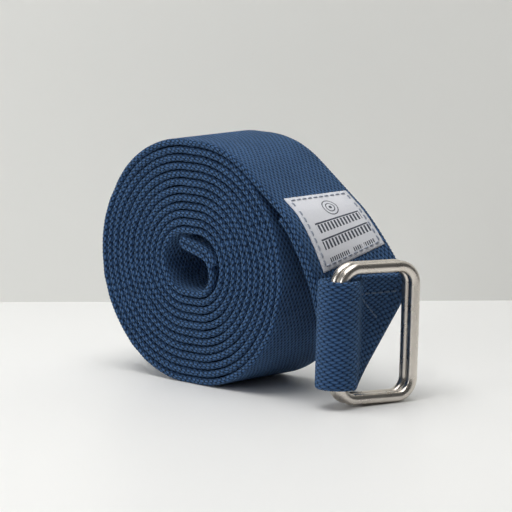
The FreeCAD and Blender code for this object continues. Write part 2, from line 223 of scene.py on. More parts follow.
def loop_line():
    neck = math.hypot(SLACK_NECK, LOOP_R - HALF)
    touch = -math.atan2(LOOP_R - HALF, SLACK_NECK) + math.acos((LOOP_R - HALF) / neck)
    slope = touch - math.pi / 2
    run = (TAB_FRONT_N - LOOP_R * math.sin(touch)) / math.sin(slope)
    cut = SHOULDER_BEND * math.tan(-slope / 2)
    angles = np.linspace(-math.pi / 2, touch - 2 * math.pi, 90)
    round_part = LOOP_R * np.stack([np.cos(angles), np.sin(angles)], 1)
    corner = round_part[-1] + run * np.array([math.cos(slope), math.sin(slope)])
    first = corner - cut * np.array([math.cos(slope), math.sin(slope)])
    centre = first + SHOULDER_BEND * np.array([-math.sin(slope), math.cos(slope)])
    turn = np.linspace(slope - math.pi / 2, -math.pi / 2, 16)
    bend_part = centre + SHOULDER_BEND * np.stack([np.cos(turn), np.sin(turn)], 1)
    start = np.array([[FOLD_U, TAB_BACK_N]])
    end = np.array([[FOLD_U, TAB_FRONT_N]])
    return np.concatenate([start, round_part, bend_part, end])


LOOP = loop_line()
LOOP_AT = distances(LOOP)


def loop_point(x):
    """Point and outward normal (u, n) at distance x along the loop from the fold's middle and back."""
    def at(y):
        return np.stack([np.interp(y, LOOP_AT, LOOP[:, k]) for k in (0, 1)], -1)

    x = np.clip(x, LOOP_STEP, LOOP_AT[-1] - LOOP_STEP)
    run = unit(at(x + 0.35) - at(x - 0.35))
    return at(x), np.stack([-run[..., 1], run[..., 0]], -1)


# how far either side of the slanted fold the cloth is still settling
SETTLE = 4.0


def folded(rho, w, h, layer):
    """The webbing over the slanted fold: rho runs along it, 0 at the fold's middle."""
    radius_mid = FOLD_GAP / 2 + HALF + layer * THICK
    radius = radius_mid - h if layer == 0 else radius_mid + h
    rho, w, radius = np.broadcast_arrays(rho, w, radius)
    d = rho * (DOWN @ BEYOND) + w * (ACROSS @ BEYOND)
    b = rho * (DOWN @ ALONG) + w * (ACROSS @ ALONG)
    whole = 2 * SETTLE + math.pi * radius_mid
    path = (d + SETTLE) / (2 * SETTLE) * whole
    angle = np.clip((path - SETTLE) / radius_mid, 0, math.pi)
    a = np.where(path < SETTLE, path - SETTLE, 0) + np.where(
        path > SETTLE + math.pi * radius_mid, -(path - SETTLE - math.pi * radius_mid), 0)
    a = np.where(d < -SETTLE, d, np.where(d > SETTLE, -d, a)) + radius * np.sin(angle)
    n = FOLD_N - radius * np.cos(angle)
    u = FOLD_U + a * BEYOND[0] + b * ALONG[0]
    v = a * BEYOND[1] + b * ALONG[1]
    return u, v, n, d


# ---- cross-section of the webbing: flat faces, and edges rounded over the last EDGE_ROUND of the width
EDGE_ROUND = 1.05


def section(inner):
    """(across, through) points once round, with how far each is round the edge (0 on the faces)."""
    edge_w = EDGE - EDGE_ROUND
    angles = np.radians([90, 58, 28, 0, -28, -58, -90])
    face = np.linspace(-edge_w, edge_w, inner + 2)[1:-1]
    points = [(edge_w + EDGE_ROUND * math.cos(a), HALF * math.sin(a)) for a in angles]
    points += [(w, -HALF) for w in face[::-1]]
    points += [(-edge_w - EDGE_ROUND * math.cos(a), -HALF * math.sin(a)) for a in angles]
    points += [(w, HALF) for w in face]
    points = np.array(points)
    edge = np.clip((np.abs(points[:, 0]) - edge_w) / EDGE_ROUND, 0, 1)
    return points, edge


def with_chain(points, edge, count):
    """Across and through for each section point in each of count rows, with the selvage's chain:
    the rounded edge swells and narrows, front and back in turn."""
    row = np.arange(count)[:, None]
    beat = np.where((row + (points[:, 1] > 0)) % 2 == 0, 1.0, -1.0)
    swell = 0.1 * beat * edge * np.where(np.abs(points[:, 1]) < 0.05, 0.25, 1.0)
    across = points[:, 0] + swell * np.sign(points[:, 0]) * 1.4
    through = points[:, 1] * (1 + swell * 0.6)
    return across, through


class Ribbon:
    """Rows of points along the webbing, each once round its section, in order from the hem,
    and the same rows flattened to the middle of the cloth, for measuring along it."""

    def __init__(self):
        self.rows, self.mids, self.sections = [], [], []

    def add(self, rows, mids, points):
        self.rows.append(rows)
        self.mids.append(mids)
        self.sections.append(points)


COARSE, COARSE_EDGE = section(3)
FINE, FINE_EDGE = section(33)


def swept(centre, across, normal, points, edge):
    w, h = with_chain(points, edge, len(centre))
    rows = centre[:, None] + across[:, None] * w[..., None] + normal[:, None] * h[..., None]
    mids = centre[:, None] + across[:, None] * points[:, 0][None, :, None]
    return rows, mids


def build_webbing():
    ribbon = Ribbon()

    # the roll, turned round so that it runs from the hem outwards
    flat, out, along = sample_steps(roll_steps(), ROLL_STEP)
    total = along[-1]
    hem_at = total - HEM_STRAIGHT - HEM_RADIUS * math.radians(HEM_END - HEM_START)
    calm = smooth(LEAVE_RUN + 30, LEAVE_RUN + 90, along) * (1 - smooth(hem_at - 40, hem_at - 10, along))
    sway = 0.10 * wander(along, 3, 61.0) * calm
    lift = (0.28 * wander(along, 11, 97.0) + 0.16 * wander(along, 5, 23.0)) * smooth(0, 60, along)
    flat = flat + out * sway[:, None]
    centre = np.stack([flat[:, 0], lift, flat[:, 1]], 1)[::-1]
    normal = np.stack([out[:, 0], 0 * along, out[:, 1]], 1)[::-1]

    # the hem: the last stretch again, laid on the outside, and a tight turn back into the strap
    count = int((total - hem_at) / ROLL_STEP)
    over = centre[:count][::-1] + normal[:count][::-1] * THICK
    end, end_n = centre[0], normal[0]
    end_t = unit(centre[0] - centre[1])
    turns = np.radians(np.linspace(90, -90, 9))[1:-1]
    tight = np.array([end + end_n * (HALF + HALF * math.sin(a)) + end_t * HALF * math.cos(a) * 1.3
                      for a in turns])
    tight_n = unit(np.array([-end_n * math.sin(a) - end_t * math.cos(a) for a in turns]))
    centre = np.concatenate([over, tight, centre])
    normal = np.concatenate([-normal[:count][::-1], tight_n, normal])
    across = np.repeat([[0, 1.0, 0]], len(centre), 0)
    rows, mids = swept(centre, across, normal, COARSE, COARSE_EDGE)
    ribbon.add(rows, mids, COARSE)

    # the outer layer down to the fold
    t = np.linspace(0, 1, int(SPAN / RUN_STEP))[1:]
    c, a, n = descent(t)
    rows, mids = swept(c + n * HALF, a, n, FINE, FINE_EDGE)
    ribbon.add(rows, mids, FINE)

    # fold, tab, loop, tab and fold
    x_end = LOOP_AT[-1]

    def block(rho, layer, forward):
        across, through = with_chain(FINE, FINE_EDGE, len(rho))
        result = []
        for wide, thick in ((across, through), (FINE[:, 0] + 0 * across, 0 * through)):
            u, v, n, d = folded(rho[:, None], wide, thick, layer)
            x = rho if layer == 0 else x_end - rho
            at, ray = loop_point(x)
            flat_n = TAB_BACK_N if layer == 0 else TAB_FRONT_N
            shift_u = (at[:, 0] - (FOLD_U - rho))[:, None] + (ray[:, 0])[:, None] * thick
            sign = -1 if layer == 0 else 1
            shift_n = (at[:, 1] - flat_n)[:, None] + (ray[:, 1] - sign)[:, None] * thick
            turned = smooth(-0.5, SETTLE + 1.5, d) * (rho > 0)[:, None]
            result.append(in_end(u + shift_u * turned, v, n + shift_n * turned))
        order = slice(None) if forward else slice(None, None, -1)
        ribbon.add(result[0][order], result[1][order], FINE)

    rho = np.concatenate([np.arange(-INCOMING, 0, LOOP_STEP)[1:], np.arange(0, x_end / 2, LOOP_STEP)])
    block(rho, 0, True)
    block(rho, 1, False)

    # the inner layer, back up to the raw end under the departing run
    c, a, n = descent(np.linspace(1, 0, int(SPAN / RUN_STEP)))
    rows, mids = swept(c - n * HALF, a, -n, FINE, FINE_EDGE)
    ribbon.add(rows, mids, FINE)
    return ribbon


def make_mesh(name, vertices, faces, smooth_faces=True):
    mesh = bpy.data.meshes.new(name)
    mesh.from_pydata([tuple(p) for p in np.asarray(vertices) * MM], [], faces)
    mesh.validate()
    mesh.update()
    if smooth_faces:
        mesh.polygons.foreach_set("use_smooth", [True] * len(mesh.polygons))
    obj = bpy.data.objects.new(name, mesh)
    bpy.context.scene.collection.objects.link(obj)
    return obj


def set_cloth_coordinates(obj, values):
    """Where each point lies on the cloth: along, across and which side, in metres."""
    layer = obj.data.attributes.new("cloth", "FLOAT_VECTOR", "POINT")
    layer.data.foreach_set("vector", (np.asarray(values) * MM).ravel())


def webbing_object():
    ribbon = build_webbing()
    vertices, cloth, faces = [], [], []
    base, travelled = 0, 0.0
    last = None
    for rows, mids, points in zip(ribbon.rows, ribbon.mids, ribbon.sections):
        count, size = rows.shape[:2]
        steps = np.linalg.norm(np.diff(mids, axis=0), axis=2)
        along = np.concatenate([np.zeros((1, size)), np.cumsum(steps, 0)])
        if last is not None and len(last[3]) == size:
            along += last[3] + np.linalg.norm(mids[0] - last[2], axis=1)
        else:
            along += travelled + RUN_STEP
        vertices.append(rows.reshape(-1, 3))
        across, through = points[:, 0] + 0 * along, points[:, 1] + 0 * along
        cloth.append(np.stack([along, across, through], -1).reshape(-1, 3))
        grid = base + np.arange(count * size).reshape(count, size)
        turned = np.roll(grid, -1, axis=1)
        quads = np.stack([grid[:-1], turned[:-1], turned[1:], grid[1:]], -1).reshape(-1, 4)
        if last is not None:
            before = last[0]
            if len(before) == size:
                joining = np.stack([before, np.roll(before, -1), turned[0], grid[0]], -1)
                quads = np.concatenate([joining, quads])
            else:
                faces += bridge(before, last[1], grid[0], points)
        faces += quads.tolist()
        last = (grid[-1], points, mids[-1], along[-1])
        travelled = along[-1].mean()
        base += count * size
    faces.append(list(range(len(COARSE)))[::-1])
    faces.append(last[0].tolist())
    obj = make_mesh("webbing", np.concatenate(vertices), faces)
    set_cloth_coordinates(obj, np.concatenate(cloth))
    return obj, travelled


def bridge(before, before_points, after, after_points):
    """Faces from a coarse row to a fine one: each coarse span meets the fine points between its ends."""
    match = [int(np.argmin(np.linalg.norm(after_points - p, axis=1))) for p in before_points]
    faces = []
    for i in range(len(before)):
        j = (i + 1) % len(before)
        a, b = match[i], match[j]
        span = [a]
        while span[-1] != b:
            span.append((span[-1] + 1) % len(after))
        faces.append([int(before[i]), int(before[j])] + [int(after[k]) for k in span[::-1]])
    return faces


webbing, webbing_length = webbing_object()


# ---- the rings: round wire swept round a rounded rectangle, with a slight swelling at the weld
WELD_HEIGHT, WELD_LENGTH, WELD_SWELL = 2.0, 0.8, 0.12


def ring_object(name, offset):
    turn = math.radians(RING_SWING)
    reach, near, far = RING_H / 2 - RING_CORNER, RING_CORNER, RING_W - RING_CORNER
    path = []

    def arc(cx, cy, a, b):
        for k in np.radians(np.linspace(a, b, 25)):
            path.append((cx + RING_CORNER * math.cos(k), cy + RING_CORNER * math.sin(k)))

    arc(near, reach, 180, 90)
    path.extend([(x, RING_H / 2) for x in np.linspace(near, far, 12)[1:-1]])
    arc(far, reach, 90, 0)
    path.extend([(RING_W, y) for y in np.linspace(reach, -reach, 16)[1:-1]])
    arc(far, -reach, 0, -90)
    path.extend([(x, -RING_H / 2) for x in np.linspace(far, near, 12)[1:-1]])
    arc(near, -reach, -90, -180)
    path.extend([(0, y) for y in np.linspace(-reach, reach, 20)[1:-1]])
    path = np.array(path)
    run = unit(np.roll(path, -1, 0) - np.roll(path, 1, 0))
    side = np.stack([run[:, 1], -run[:, 0]], 1)
    sides = 28
    angle = np.linspace(0, 2 * math.pi, sides, endpoint=False)
    on_bar = path[:, 0] < 0.01
    weld = np.exp(-((path[:, 1] - WELD_HEIGHT) / WELD_LENGTH) ** 2) * on_bar * WELD_SWELL
    radius = (WIRE_R + weld)[:, None]
    x = path[:, :1] + side[:, :1] * np.cos(angle) * radius
    y = path[:, 1:] + side[:, 1:] * np.cos(angle) * radius
    z = np.sin(angle) * radius
    u = x * math.cos(turn) - (offset + z) * math.sin(turn)
    n = x * math.sin(turn) + (offset + z) * math.cos(turn)
    points = in_end(u, y, n).reshape(-1, 3)
    count = len(path)
    grid = np.arange(count * sides).reshape(count, sides)
    nxt = np.roll(grid, -1, 0)
    faces = np.stack([grid, np.roll(grid, -1, 1), np.roll(nxt, -1, 1), nxt], -1).reshape(-1, 4).tolist()
    return make_mesh(name, points, faces)


ring_back = ring_object("cinch_ring_back", -BAR_SPACING / 2)
ring_front = ring_object("cinch_ring_front", BAR_SPACING / 2)


# ---- the label: crowned a little, its turned-in rim LABEL_RIM thick
LABEL_RIM, LABEL_GAP = 0.22, 0.02


def label_surface(t, w, h):
    c, a, n = descent(t)
    return c + a * np.asarray(w)[..., None] + n * np.asarray(h)[..., None]


def label_object():
    rows, columns = 44, 40
    t, w = np.meshgrid(np.linspace(0, 1, rows), np.linspace(-1, 1, columns), indexing="ij")
    frayed = 0.12 * wander(t * 30, 21, 7.0) * np.abs(w) ** 6
    bulge = (1 - np.abs(w) ** 8) * (1 - np.abs(2 * t - 1) ** 10)
    side = LABEL_SHIFT + w * (LABEL_WIDTH / 2) + np.sign(w) * frayed
    wave = 0.05 * wander(w * 14 + 3 * t, 8, 9.0) * (np.abs(2 * t - 1) > 0.9)
    tt = np.interp(t * LABEL_LENGTH, label_down, label_t)
    top = label_surface(tt, side, THICK + LABEL_RIM + (LABEL_THICK - LABEL_RIM) * bulge + wave)
    under = label_surface(tt, side, THICK + LABEL_GAP + 0 * bulge)
    count = rows * columns
    points = np.concatenate([top.reshape(-1, 3), under.reshape(-1, 3)])
    grid = np.arange(count).reshape(rows, columns)
    quads = np.stack([grid[:-1, :-1], grid[1:, :-1], grid[1:, 1:], grid[:-1, 1:]], -1).reshape(-1, 4)
    faces = quads.tolist() + (quads[:, ::-1] + count).tolist()
    rim = list(grid[0]) + list(grid[1:, -1]) + list(grid[-1, -2::-1]) + list(grid[-2:0:-1, 0])
    for p, q in zip(rim, rim[1:] + rim[:1]):
        faces.append([int(p), int(q), int(q) + count, int(p) + count])
    obj = make_mesh("sewn_label", points, faces)
    length = t * LABEL_LENGTH
    flat = np.stack([length, side - LABEL_SHIFT, 0 * length + 1], -1).reshape(-1, 3)
    set_cloth_coordinates(obj, np.concatenate([flat, flat]))
    return obj


label = label_object()


# ---- stitches: short arched lengths of two-ply thread whose ends dive into the cloth
THREAD_R = 0.27
LABEL_PITCH, LABEL_STITCH = 2.7, 2.0


def stitch_mesh(name, stitches):
    rings, sides = 9, 8
    vertices, faces = [], []
    s = np.linspace(-1, 1, rings)
    angle = np.linspace(0, 2 * math.pi, sides, endpoint=False)
    for number, (middle, along, outward, length) in enumerate(stitches):
        along = unit(np.asarray(along))
        outward = unit(outward - along * (outward @ along))
        side = np.cross(outward, along)
        arch = 0.30 - 0.42 * np.abs(s) ** 4
        radius = THREAD_R * (1 + 0.16 * np.cos(2 * (angle[None] - 5.0 * s[:, None] + number)))
        centre = middle + np.outer(s * length / 2, along) + np.outer(arch - 0.12, outward)
        ring = (centre[:, None] + radius[..., None] * (np.cos(angle)[None, :, None] * side
                                                       + np.sin(angle)[None, :, None] * outward))
        base = len(vertices) * rings * sides
        vertices.append(ring.reshape(-1, 3))
        grid = base + np.arange(rings * sides).reshape(rings, sides)
        turned = np.roll(grid, -1, 1)
        faces += np.stack([grid[:-1], grid[1:], turned[1:], turned[:-1]], -1).reshape(-1, 4).tolist()
        faces += [grid[0].tolist(), grid[-1][::-1].tolist()]
    return make_mesh(name, np.concatenate(vertices), faces)


def run_of_stitches(points, normals, pitch=3.0, length=2.4):
    """Stitches along a fine polyline."""
    at = distances(points)
    count = max(1, int(round(at[-1] / pitch)))

    def look(values, x):
        return np.array([np.interp(x, at, values[:, k]) for k in range(3)])

    found = []
    for index in range(count):
        here = (index + 0.5) / count * at[-1]
        along = look(points, here + 0.5) - look(points, here - 0.5)
        found.append((look(points, here), along, look(normals, here), length))
    return found


def label_border(h, above, outward):
    """Stitches all round the label, h from the cloth's middle below the raw end and above it."""
    inset = 1.7
    left, right = LABEL_SHIFT - LABEL_WIDTH / 2 + inset, LABEL_SHIFT + LABEL_WIDTH / 2 - inset
    edge_t = np.interp([inset, LABEL_LENGTH - inset], label_down, label_t)
    found = []
    for first, last, level in ((edge_t[0], -0.02, above), (0.02, edge_t[1], h)):
        for side in (left, right):
            t = np.linspace(first, last, 60)
            found += run_of_stitches(label_surface(t, side + 0 * t, level + 0 * t),
                                     descent(t)[2] * outward, LABEL_PITCH, LABEL_STITCH)
    for t, level in ((edge_t[0], above), (edge_t[1], h)):
        w = np.linspace(left, right, 40)
        tt = t + 0 * w
        found += run_of_stitches(label_surface(tt, w, level + 0 * w), descent(tt)[2] * outward,
                                 LABEL_PITCH, LABEL_STITCH)
    return found


def front_of_loop(u):
    """How far out the front layer's middle line is at u along the sewn end."""
    ahead = LOOP[len(LOOP) // 2:]
    ahead = ahead[np.argsort(ahead[:, 0])]
    return np.interp(u, ahead[:, 0], ahead[:, 1])


# the tab's rows: how high and low they reach, how far they stay from the fold, and how far below and
# beyond their corner the slanted one starts
TAB_TOP, TAB_FOOT, FOLD_CLEAR, SLANT_INSET = 13.0, -12.5, 2.5, 1.5


def tab_lines(n, outward):
    """Three rows on the tab: up it, across its top, and on a slant down from their corner."""
    corner_u, top, bottom = (10.6 if outward > 0 else 11.0), TAB_TOP, TAB_FOOT
    fold_u = FOLD_FOOT + (top + EDGE) / math.tan(SLANT)
    arm = (fold_u - 2 * FOLD_CLEAR - corner_u) / (1 + 1 / math.tan(SLANT))
    found = []
    for a, b in (((corner_u, bottom), (corner_u, top)), ((corner_u, top), (fold_u - FOLD_CLEAR, top)),
                 ((corner_u + SLANT_INSET, top - SLANT_INSET), (corner_u + arm, top - arm))):
        k = np.linspace(0, 1, 30)[:, None]
        uv = np.array(a) + (np.array(b) - np.array(a)) * k
        lift = 0 * uv[:, 0]
        if outward > 0:
            u, v, level, d = folded(FOLD_U - uv[:, 0], uv[:, 1], 0 * lift, 1)
            lift = (front_of_loop(uv[:, 0]) - TAB_FRONT_N) * smooth(-0.5, SETTLE + 1.5, d)
        points = in_end(uv[:, 0], uv[:, 1], n + lift)
        slope = np.gradient(lift) / np.maximum(np.gradient(uv[:, 0]), 0.05) * (abs(b[1] - a[1]) < 0.1)
        normals = unit(E_N * outward - slope[:, None] * E_U)
        found += run_of_stitches(points, normals)
    return found


HEM_INSET = 2.5


def hem_line(offset, outward):
    """One row across the hem, a third of the way along its straight part."""
    flat, out, _ = sample_steps(roll_steps()[-1:], 0.2)
    here = int(len(flat) / 3)
    p, n = flat[here] + out[here] * offset, out[here] * outward
    reach = EDGE - HEM_INSET
    y = np.linspace(-reach, reach, 20)
    points = np.stack([p[0] + 0 * y, y, p[1] + 0 * y], 1)
    return run_of_stitches(points, np.repeat([[n[0], 0, n[1]]], 20, 0))


on_label = THICK + LABEL_THICK - 0.08
threads = {
    "label_needle_thread": stitch_mesh("label_stitches", label_border(on_label, on_label, 1)),
    "label_bobbin_thread": stitch_mesh("label_stitches_behind", label_border(-THICK, 0, -1)),
    "tab_needle_thread": stitch_mesh("loop_stitches", tab_lines(TAB_FRONT_N + HALF, 1)),
    "tab_bobbin_thread": stitch_mesh("loop_stitches_behind", tab_lines(TAB_BACK_N - HALF, -1)),
    "hem_needle_thread": stitch_mesh("hem_stitches", hem_line(-HALF, -1)),
    "hem_bobbin_thread": stitch_mesh("hem_stitches_behind", hem_line(HALF + THICK, 1)),
}


# ---- materials
class Nodes:
    def __init__(self, name):
        self.material = bpy.data.materials.new(name)
        self.material.use_nodes = True
        self.tree = self.material.node_tree
        self.shader = self.tree.nodes["Principled BSDF"]

    def new(self, kind, **settings):
        node = self.tree.nodes.new(kind)
        for key, value in settings.items():
            setattr(node, key, value)
        return node

    def link(self, a, b):
        self.tree.links.new(a, b)

    def put(self, value, socket):
        if isinstance(value, bpy.types.NodeSocket):
            self.link(value, socket)
        else:
            socket.default_value = value

    def math(self, operation, a, b=0.0, clamp=False):
        node = self.new("ShaderNodeMath", operation=operation, use_clamp=clamp)
        for value, socket in zip((a, b), node.inputs):
            self.put(value, socket)
        return node.outputs[0]

    def noise(self, vector, scale, detail=2.0, rough=0.5):
        node = self.new("ShaderNodeTexNoise")
        self.link(vector, node.inputs["Vector"])
        node.inputs["Scale"].default_value = scale
        node.inputs["Detail"].default_value = detail
        node.inputs["Roughness"].default_value = rough
        return node.outputs["Fac"]

    def cloth(self):
        node = self.new("ShaderNodeAttribute", attribute_name="cloth")
        split = self.new("ShaderNodeSeparateXYZ")
        self.link(node.outputs["Vector"], split.inputs[0])
        return node.outputs["Vector"], split.outputs[0], split.outputs[1], split.outputs[2]

    def object_place(self):
        return self.new("ShaderNodeTexCoord").outputs["Object"]

    def ramp(self, value, stops):
        node = self.new("ShaderNodeValToRGB")
        self.link(value, node.inputs[0])
        elements = node.color_ramp.elements
        while len(elements) < len(stops):
            elements.new(0.5)
        for element, (position, colour) in zip(elements, stops):
            element.position = position
            element.color = (*colour, 1)
        return node.outputs[0]

    def mix(self, factor, a, b, blend="MIX"):
        node = self.new("ShaderNodeMix", data_type="RGBA", blend_type=blend)
        self.put(factor, node.inputs[0])
        for value, socket in ((a, node.inputs[6]), (b, node.inputs[7])):
            if isinstance(value, tuple):
                value = (*value, 1) if len(value) == 3 else value
            self.put(value, socket)
        return node.outputs[2]

    def bump(self, height, distance):
        node = self.new("ShaderNodeBump")
        node.inputs["Strength"].default_value = 1.0
        node.inputs["Distance"].default_value = distance
        self.link(height, node.inputs["Height"])
        return node.outputs[0]

    def set(self, **values):
        for key, value in values.items():
            socket = self.shader.inputs[key.replace("_", " ")]
            if isinstance(value, bpy.types.NodeSocket):
                self.link(value, socket)
            else:
                socket.default_value = (*value, 1) if isinstance(value, tuple) else value


def crowns(n, s, c, long_reach, wide_reach):
    """Raised yarn crowns in brick order on a lattice of one cell per unit of s and c."""
    found = []
    for shift in (0.0, 0.5):
        ps = n.math("SUBTRACT", n.math("FRACT", n.math("ADD", s, shift)), 0.5)
        pc = n.math("SUBTRACT", n.math("FRACT", n.math("ADD", c, shift)), 0.5)
        reach = n.math("ADD", n.math("POWER", n.math("MULTIPLY", n.math("ABSOLUTE", ps), long_reach), 2.4),
                       n.math("POWER", n.math("MULTIPLY", n.math("ABSOLUTE", pc), wide_reach), 2.0))
        found.append(n.math("SUBTRACT", 1.0, reach))
    return n.math("SQRT", n.math("MAXIMUM", n.math("MAXIMUM", found[0], found[1]), 0.0))


# the weave, in millimetres: one cell of the face, one of the selvage's rope, and one ply of the yarn
CELL_LONG, CELL_WIDE = 3.0, 1.75
ROPE_LONG, ROPE_WIDE = 2.3, 1.7
PLY = 0.46


def woven(name, dark, middle, light, depth, sheen):
    """Heavy plain weave: brick-ordered crowns on the faces and a finer rope along the selvages."""
    n = Nodes(name)
    place, along, across, through = n.cloth()
    warp = n.math("MULTIPLY", n.math("SUBTRACT", n.noise(place, 330.0, 3, 0.6), 0.5), 0.0011)
    sideways = n.math("MULTIPLY", n.math("SUBTRACT", n.noise(place, 410.0, 2), 0.5), 0.0005)
    along = n.math("ADD", along, warp)
    wavy = n.math("ADD", across, sideways)
    cells = n.math("DIVIDE", along, CELL_LONG * MM), n.math("DIVIDE", wavy, CELL_WIDE * MM)
    flat = crowns(n, *cells, 2.15, 2.9)
    plies = n.math("MULTIPLY", n.math("SINE", n.math("MULTIPLY", across, 2 * math.pi / (PLY * MM))), 0.06)
    flat = n.math("ADD", flat, n.math("MULTIPLY", flat, plies))
    rope = n.math("ADD", n.math("DIVIDE", n.math("ADD", through, sideways), ROPE_WIDE * MM), 0.25)
    slant = n.math("ADD", n.math("DIVIDE", along, ROPE_LONG * MM), n.math("MULTIPLY", rope, 0.35))
    edge = n.math("MULTIPLY", crowns(n, slant, rope, 2.3, 3.0), 1.15)
    past = n.math("SUBTRACT", n.math("ABSOLUTE", across), (EDGE - 0.75) * MM)
    at_edge = n.math("MULTIPLY", past, 1 / (0.5 * MM), clamp=True)
    on_face = n.math("MULTIPLY", flat, n.math("SUBTRACT", 1.0, at_edge))
    crown = n.math("ADD", on_face, n.math("MULTIPLY", edge, at_edge))
    fibre = n.noise(place, 4200.0, 3, 0.7)
    patch = n.noise(place, 55.0, 3)
    value = n.math("ADD", n.math("MULTIPLY", crown, 0.82), n.math("MULTIPLY", fibre, 0.40))
    value = n.math("ADD", value, n.math("MULTIPLY", n.math("SUBTRACT", patch, 0.5), 0.3))
    # darker along the selvages: painted shade for the shadow between the edge yarns
    value = n.math("SUBTRACT", value, n.math("MULTIPLY", at_edge, 0.08))
    # colour follows the crown height: painted shade, near black in the hollows between the yarns, and
    # lightest on the crown tops
    colour = n.ramp(value, [(0.04, dark), (0.70, middle), (1.0, light)])
    height = n.math("ADD", crown, n.math("MULTIPLY", fibre, 0.45))
    n.set(Base_Color=colour, Roughness=0.86, Sheen_Weight=sheen, Sheen_Roughness=0.5,
          Normal=n.bump(height, depth * MM), Specular_IOR_Level=0.1)
    n.shader.inputs["Sheen Tint"].default_value = (0.42, 0.68, 1.0, 1)
    return n.material


def thread(name, dark, light):
    n = Nodes(name)
    place = n.object_place()
    colour = n.ramp(n.noise(place, 2600.0, 3, 0.7), [(0.25, dark), (0.75, light)])
    n.set(Base_Color=colour, Roughness=0.62, Sheen_Weight=0.3, Specular_IOR_Level=0.35,
          Normal=n.bump(n.noise(place, 5200.0, 2), 0.00008))
    return n.material


def satin_nickel():
    n = Nodes("satin_nickel")
    place = n.object_place()
    cloudy = n.noise(place, 160.0, 3, 0.5)
    fine = n.noise(place, 2500.0, 2)
    colour = n.ramp(cloudy, [(0.3, (0.66, 0.61, 0.55)), (0.7, (0.73, 0.68, 0.62))])
    rough = n.math("ADD", 0.25, n.math("MULTIPLY", cloudy, 0.05))
    n.set(Base_Color=colour, Metallic=1.0, Roughness=rough, Normal=n.bump(fine, 0.0000012))
    return n.material


# the label's plain marks, in millimetres across from its middle and down from its top: each bar's
# middle, half width, half height and the spacing of its strokes, 0 where it is solid; then the
# middle and reach of two rings, and the dot in them
BARS = [(1.0, 12.3, 11.6, 0.3, 0), (1.0, 14.3, 11.6, 1.5, 1.7), (1.0, 18.1, 12.2, 0.3, 0),
        (1.0, 20.1, 12.2, 1.5, 1.7), (-6.0, 25.3, 5.0, 0.8, 1.0), (3.2, 25.3, 2.2, 0.8, 1.0),
        (9.4, 25.3, 2.8, 0.8, 1.0)]
MARK_AT, MARK_RINGS, MARK_DOT = (1.4, 7.4), (3.3, 1.9), 0.7


def label_cloth():
    """Smooth woven label with a plain round mark and bars in place of lettering."""
    n = Nodes("label_cloth")
    place, along, across, _ = n.cloth()
    x = n.math("MULTIPLY", across, 1000.0)
    y = n.math("MULTIPLY", along, 1000.0)
    threads_x, threads_y = (n.math("SINE", n.math("MULTIPLY", value, 19.0)) for value in (x, y))
    weave = n.math("MULTIPLY", threads_x, threads_y)
    fibre = n.noise(place, 2400.0, 3, 0.7)
    cloud = n.noise(place, 120.0, 3)
    edge_x = n.math("SUBTRACT", LABEL_WIDTH / 2, n.math("ABSOLUTE", x))
    from_middle = n.math("ABSOLUTE", n.math("SUBTRACT", y, LABEL_LENGTH / 2))
    edge_y = n.math("SUBTRACT", LABEL_LENGTH / 2, from_middle)
    edge = n.math("MINIMUM", edge_x, edge_y)
    border = n.math("SUBTRACT", 1.0, n.math("DIVIDE", edge, 2.6), clamp=True)
    shade = n.math("ADD", n.math("MULTIPLY", fibre, 0.5), n.math("MULTIPLY", cloud, 0.5))
    plain = n.ramp(shade, [(0.3, (0.71, 0.72, 0.78)), (0.7, (0.83, 0.84, 0.89))])
    worn = n.math("MULTIPLY", border, n.math("MULTIPLY", n.math("GREATER_THAN", fibre, 0.53), 0.55))
    plain = n.mix(worn, plain, (0.36, 0.40, 0.50))
    jitter = n.math("MULTIPLY", n.math("SUBTRACT", fibre, 0.5), 0.35)

    def box(cx, cy, half_w, half_h):
        dx = n.math("SUBTRACT", half_w, n.math("ABSOLUTE", n.math("SUBTRACT", x, cx)))
        dy = n.math("SUBTRACT", half_h, n.math("ABSOLUTE", n.math("SUBTRACT", y, cy)))
        return n.math("MINIMUM", dx, dy)

    marks = []
    for cx, cy, half_w, half_h, spacing in BARS:
        if spacing:
            beat = n.math("SUBTRACT", n.math("FRACT", n.math("DIVIDE", x, spacing)), 0.5)
            stripe = n.math("MULTIPLY", n.math("SUBTRACT", 0.27, n.math("ABSOLUTE", beat)), spacing)
            marks.append(n.math("MINIMUM", box(cx, cy, half_w, half_h), stripe))
        else:
            marks.append(box(cx, cy, half_w, half_h))
    gx = n.math("POWER", n.math("SUBTRACT", x, MARK_AT[0]), 2.0)
    gy = n.math("POWER", n.math("SUBTRACT", y, MARK_AT[1]), 2.0)
    distance = n.math("SQRT", n.math("ADD", gx, gy))
    for reach in MARK_RINGS:
        marks.append(n.math("SUBTRACT", 0.2, n.math("ABSOLUTE", n.math("SUBTRACT", distance, reach))))
    marks.append(n.math("SUBTRACT", MARK_DOT, distance))
    ink = marks[0]
    for mark in marks[1:]:
        ink = n.math("MAXIMUM", ink, mark)
    ink = n.math("GREATER_THAN", n.math("ADD", ink, jitter), 0.0)
    colour = n.mix(ink, plain, (0.035, 0.045, 0.075))
    height = n.math("ADD", n.math("MULTIPLY", weave, 0.5), n.math("MULTIPLY", fibre, 0.8))
    n.set(Base_Color=colour, Roughness=0.68, Sheen_Weight=0.2, Specular_IOR_Level=0.35,
          Normal=n.bump(height, 0.00006))
    return n.material


navy = woven("navy_webbing", dark=(0.0007, 0.0026, 0.011), middle=(0.0135, 0.039, 0.104),
             light=(0.060, 0.135, 0.30), depth=0.7, sheen=0.24)
navy_thread = thread("navy_thread", (0.04, 0.08, 0.16), (0.13, 0.21, 0.34))
grey_thread = thread("grey_blue_thread", (0.16, 0.19, 0.26), (0.42, 0.46, 0.54))
nickel = satin_nickel()

webbing.data.materials.append(navy)
label.data.materials.append(label_cloth())
for ring in (ring_back, ring_front):
    ring.data.materials.append(nickel)
for node, piece in threads.items():
    piece.data.materials.append(grey_thread if node == "label_needle_thread" else navy_thread)

